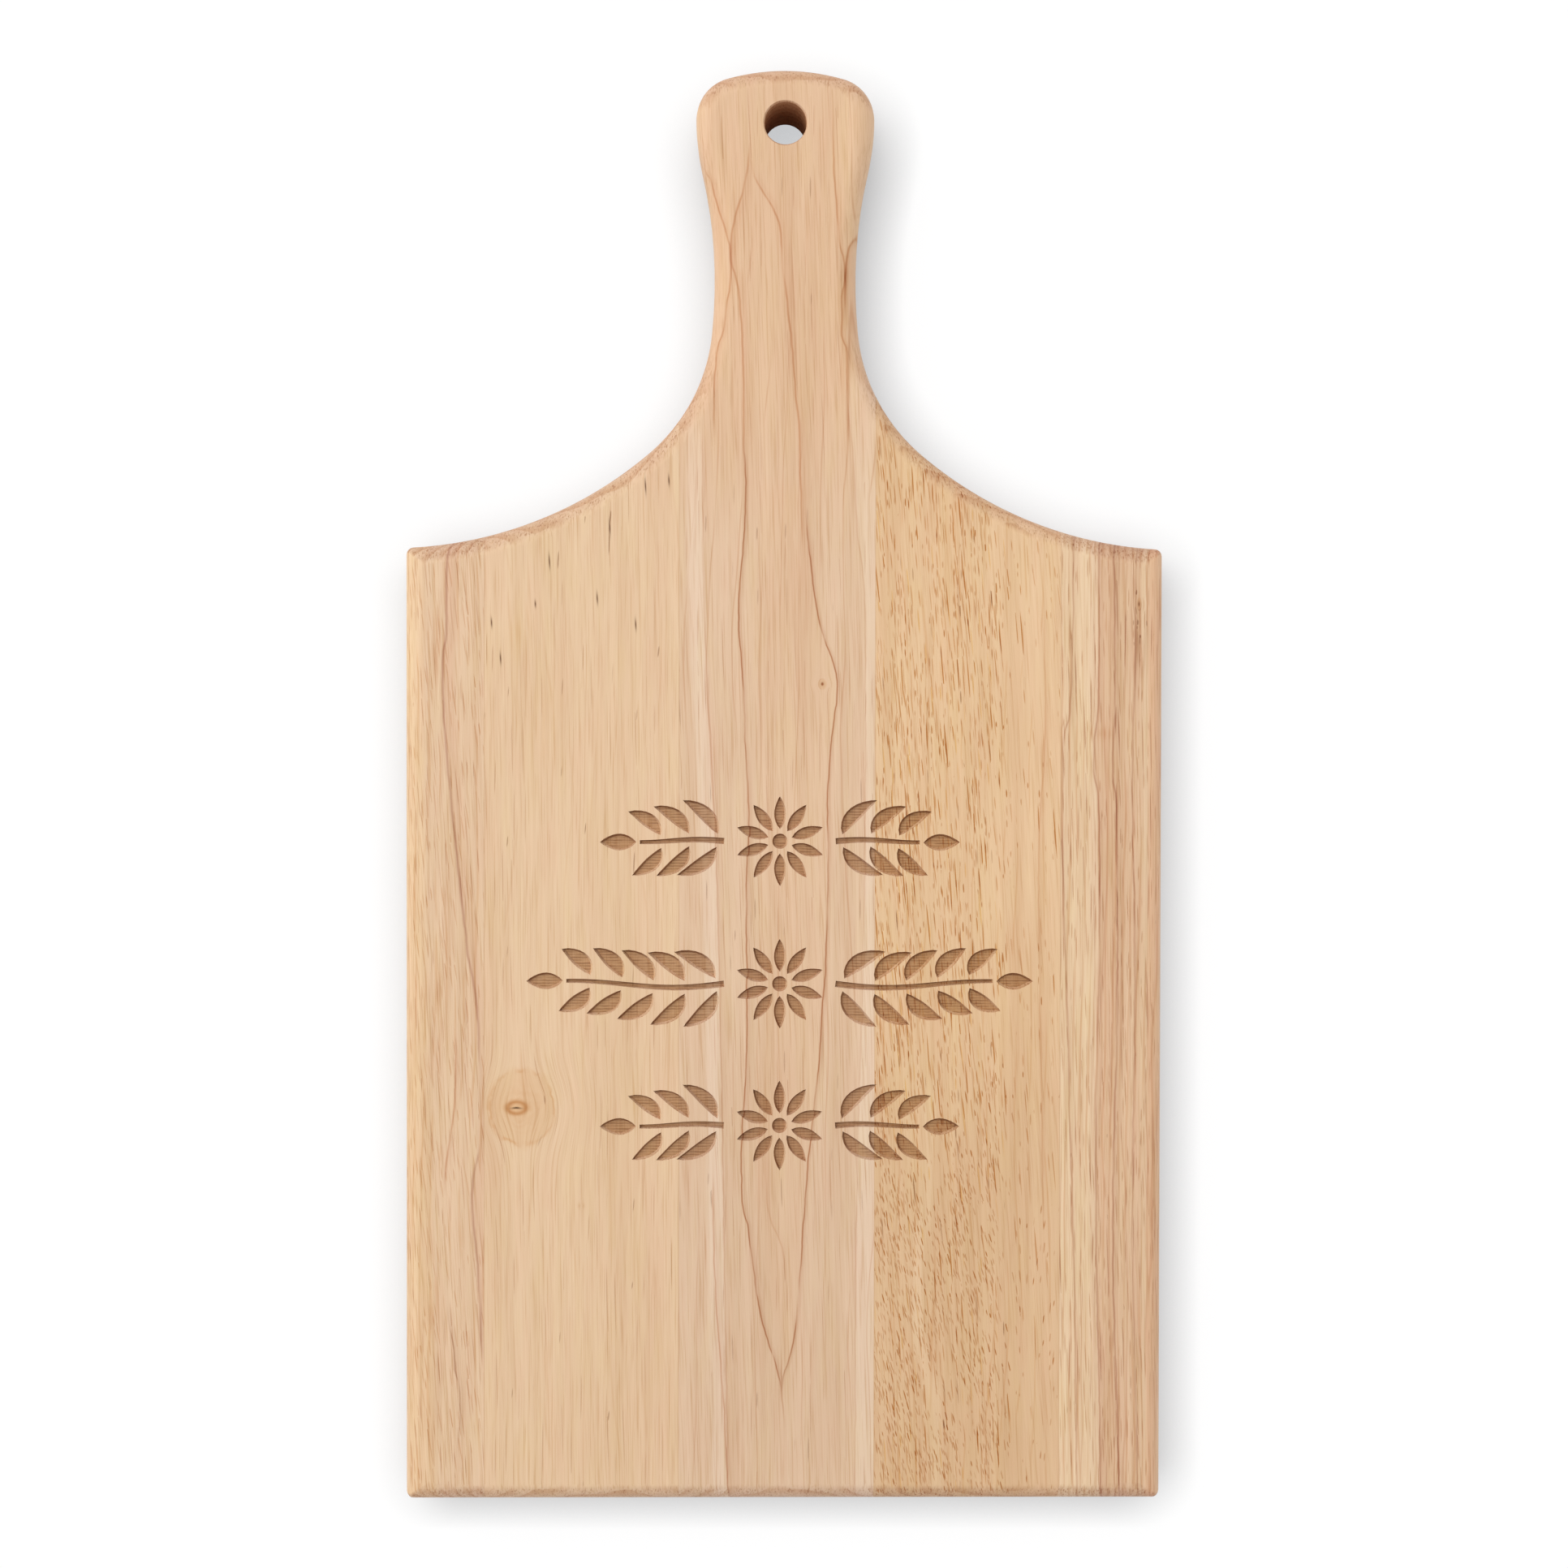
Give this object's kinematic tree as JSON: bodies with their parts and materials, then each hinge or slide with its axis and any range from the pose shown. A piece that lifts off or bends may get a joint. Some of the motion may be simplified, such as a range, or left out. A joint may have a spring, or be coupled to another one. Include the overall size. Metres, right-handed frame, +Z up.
{
  "type": "paddle charcuterie board",
  "caption": "Flat hardwood serving board with a necked paddle handle, hollow-curved shoulders, rounded edges and a round hanging hole, glued up from staves.",
  "frame": {"origin": "under the middle of the board, on the surface that it lies on", "axes": "+Y along the board from the bottom edge towards the handle, +Z up out of the serving face, +X to the right when the handle points away"},
  "size_m": [0.2286, 0.4318, 0.0191],
  "materials": {
    "left_edge_stave_wood": "sanded and lightly oiled",
    "left_stave_wood": "sanded and lightly oiled",
    "centre_stave_wood": "sanded and lightly oiled",
    "right_stave_wood": "sanded and lightly oiled",
    "right_edge_stave_wood": "sanded and lightly oiled",
    "wood_glue": "cured wood glue, sanded flush"
  },
  "bodies": {
    "root": {"left_edge_stave": "left_edge_stave_wood", "left_stave": "left_stave_wood", "centre_stave": "centre_stave_wood", "right_stave": "right_stave_wood", "right_edge_stave": "right_edge_stave_wood", "left_edge_glue_line": "wood_glue", "left_glue_line": "wood_glue", "right_glue_line": "wood_glue", "right_edge_glue_line": "wood_glue"}
  },
  "joints": []
}
